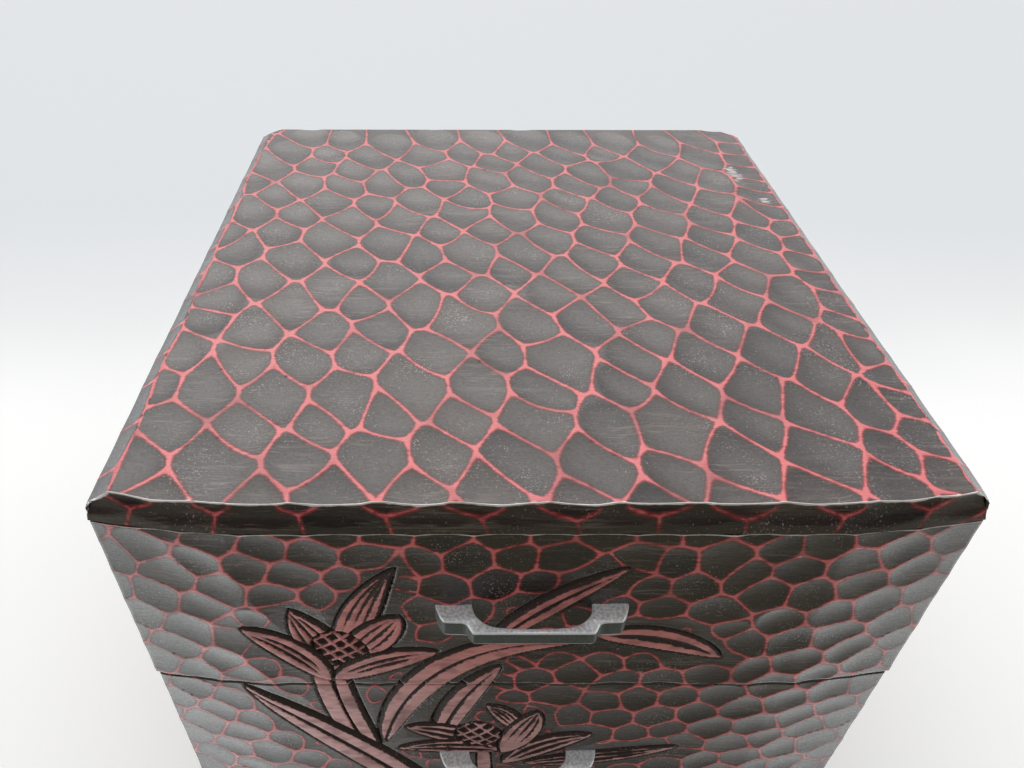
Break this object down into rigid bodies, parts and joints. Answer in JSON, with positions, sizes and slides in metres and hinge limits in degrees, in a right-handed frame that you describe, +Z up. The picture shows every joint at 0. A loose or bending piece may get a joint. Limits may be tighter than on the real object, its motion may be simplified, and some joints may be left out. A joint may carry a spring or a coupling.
{
  "type": "lacquered table chest with drawers",
  "caption": "Small wooden table chest with stacked sliding drawers, overlay fronts that fall back at their ends, gouge-carved lacquer faces and cast bar pulls.",
  "frame": {"origin": "middle of the underside of the base board, on the surface that the chest stands on", "axes": "+X to the right as seen from the front, +Y from the drawer fronts to the back, +Z up"},
  "size_m": [0.182, 0.2008, 0.148],
  "materials": {
    "carved_lacquer": "dark brown-black lacquer over red, rubbed through to red on the ridges of the carving",
    "plain_lacquer": "dark brown-black satin lacquer",
    "box_wood": "plain oiled wood",
    "peg_wood": "pale bare hardwood",
    "cast_metal": "antique grey casting with bright rubbed edges",
    "screw_steel": "dull zinc"
  },
  "bodies": {
    "carcass": {"top_board": "carved_lacquer", "base_board": "plain_lacquer", "left_side": "carved_lacquer", "right_side": "carved_lacquer", "back_panel": "plain_lacquer", "divider": "plain_lacquer", "top_dowels": "peg_wood", "base_dowels": "peg_wood", "back_pegs": "peg_wood"},
    "upper_drawer": {"upper_front": "carved_lacquer", "upper_box_left": "box_wood", "upper_box_right": "box_wood", "upper_box_back": "box_wood", "upper_box_bottom": "box_wood", "upper_box_pegs": "peg_wood", "upper_pull": "cast_metal", "upper_pull_screws": "screw_steel", "upper_pull_washers": "screw_steel"},
    "lower_drawer": {"lower_front": "carved_lacquer", "lower_box_left": "box_wood", "lower_box_right": "box_wood", "lower_box_back": "box_wood", "lower_box_bottom": "box_wood", "lower_box_pegs": "peg_wood", "lower_pull": "cast_metal", "lower_pull_screws": "screw_steel", "lower_pull_washers": "screw_steel"}
  },
  "joints": [
    {"name": "upper_drawer_slide", "type": "slide", "parent": "carcass", "child": "upper_drawer", "axis": [0, -1, 0], "range_m": [0, 0.14]},
    {"name": "lower_drawer_slide", "type": "slide", "parent": "carcass", "child": "lower_drawer", "axis": [0, -1, 0], "range_m": [0, 0.14]}
  ]
}
